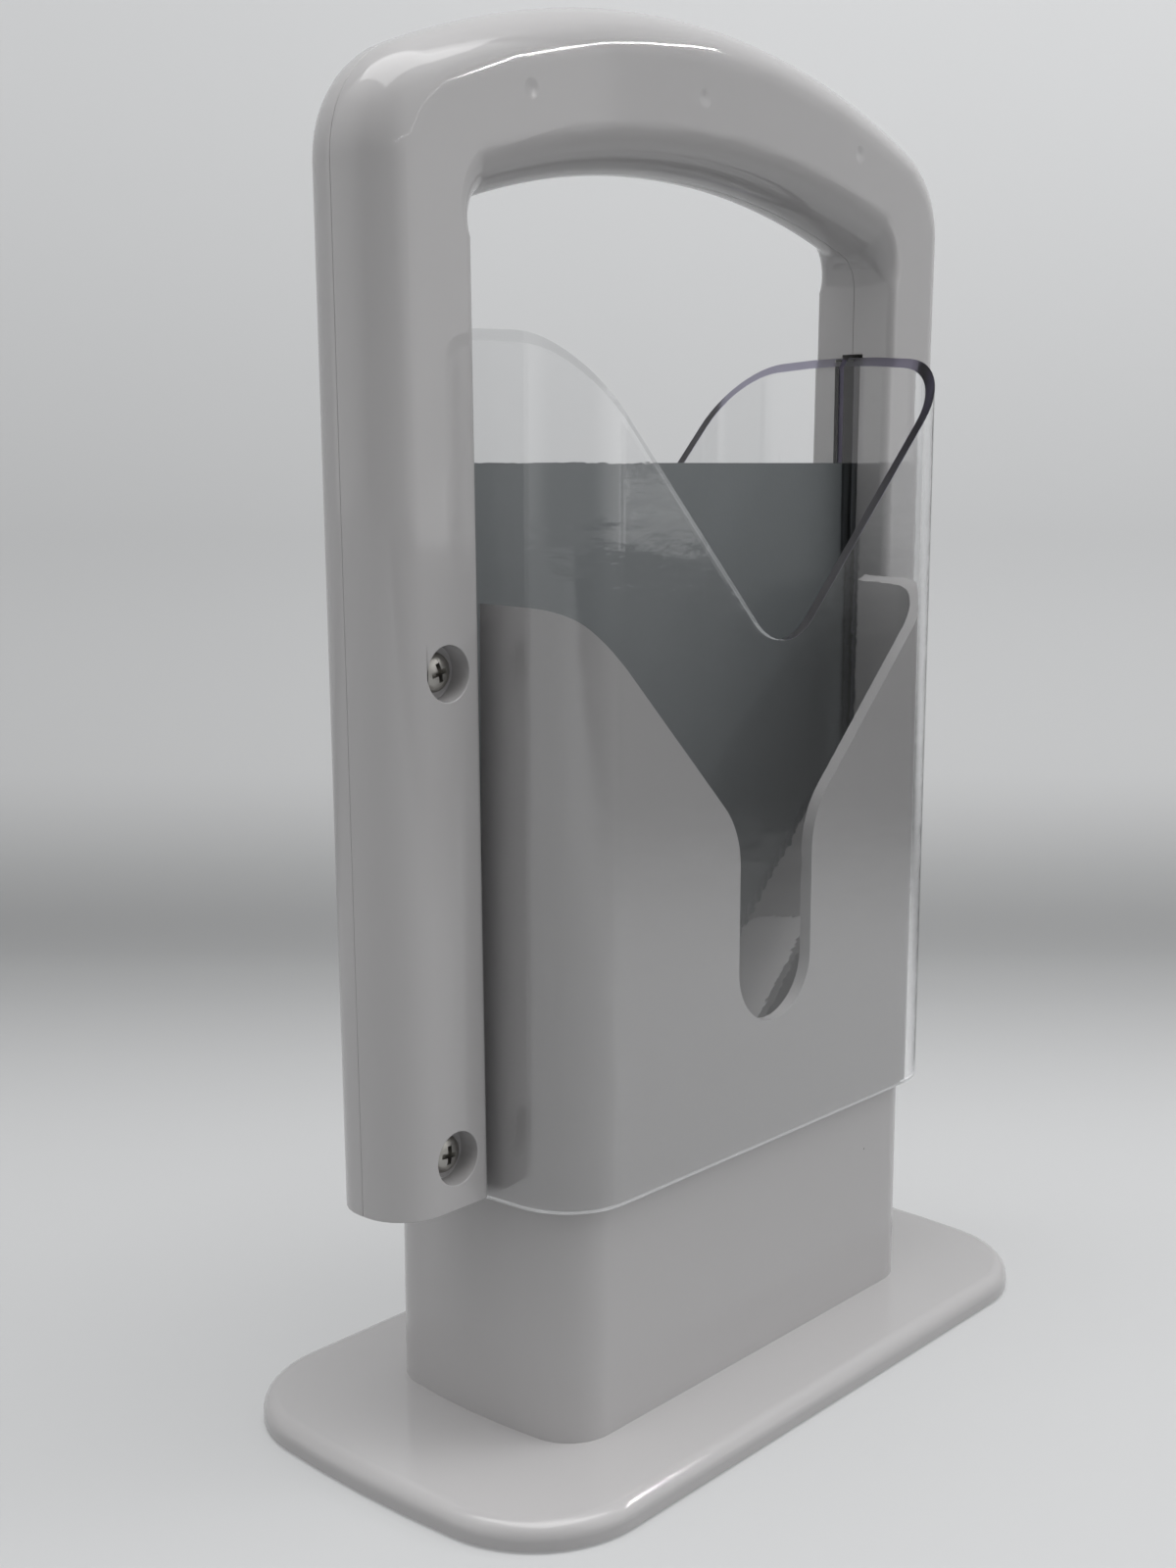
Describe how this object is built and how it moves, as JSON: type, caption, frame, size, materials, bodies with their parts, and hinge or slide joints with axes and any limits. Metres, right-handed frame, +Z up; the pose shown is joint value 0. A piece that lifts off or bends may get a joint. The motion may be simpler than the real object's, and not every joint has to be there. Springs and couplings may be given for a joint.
{
  "type": "bagel guillotine slicer",
  "caption": "Free-standing bagel slicer: a V blade between two clear guards under an arched handle slides down over an upright holder on a foot plate.",
  "frame": {"origin": "centre of the footprint on the table", "axes": "+X along the length, to the right seen from the front; +Y to the back; +Z up"},
  "size_m": [0.1794, 0.092, 0.278],
  "materials": {
    "white_plastic": "moulded, glossy, pale cool grey-white",
    "clear_plastic": "clear, glossy, edges tinted blue",
    "coated_steel": "thin dark non-stick coating, satin",
    "screw_steel": "plated steel",
    "grey_rubber": "matt"
  },
  "bodies": {
    "base": {"foot_plate": "white_plastic", "holder_body": "white_plastic", "base_screw_front_left": "screw_steel", "base_screw_front_right": "screw_steel", "base_screw_rear_left": "screw_steel", "base_screw_rear_right": "screw_steel", "foot_front_left": "grey_rubber", "foot_front_right": "grey_rubber", "foot_rear_left": "grey_rubber", "foot_rear_right": "grey_rubber"},
    "slicer": {"blade": "coated_steel", "front_guard": "clear_plastic", "rear_guard": "clear_plastic", "handle_front": "white_plastic", "handle_rear": "white_plastic", "handle_screw_upper_left": "screw_steel", "handle_screw_upper_right": "screw_steel", "handle_screw_lower_left": "screw_steel", "handle_screw_lower_right": "screw_steel"}
  },
  "joints": [
    {"name": "slicer_slide", "type": "slide", "parent": "base", "child": "slicer", "axis": [0, 0, 1], "range_m": [-0.048, 0.11]}
  ]
}
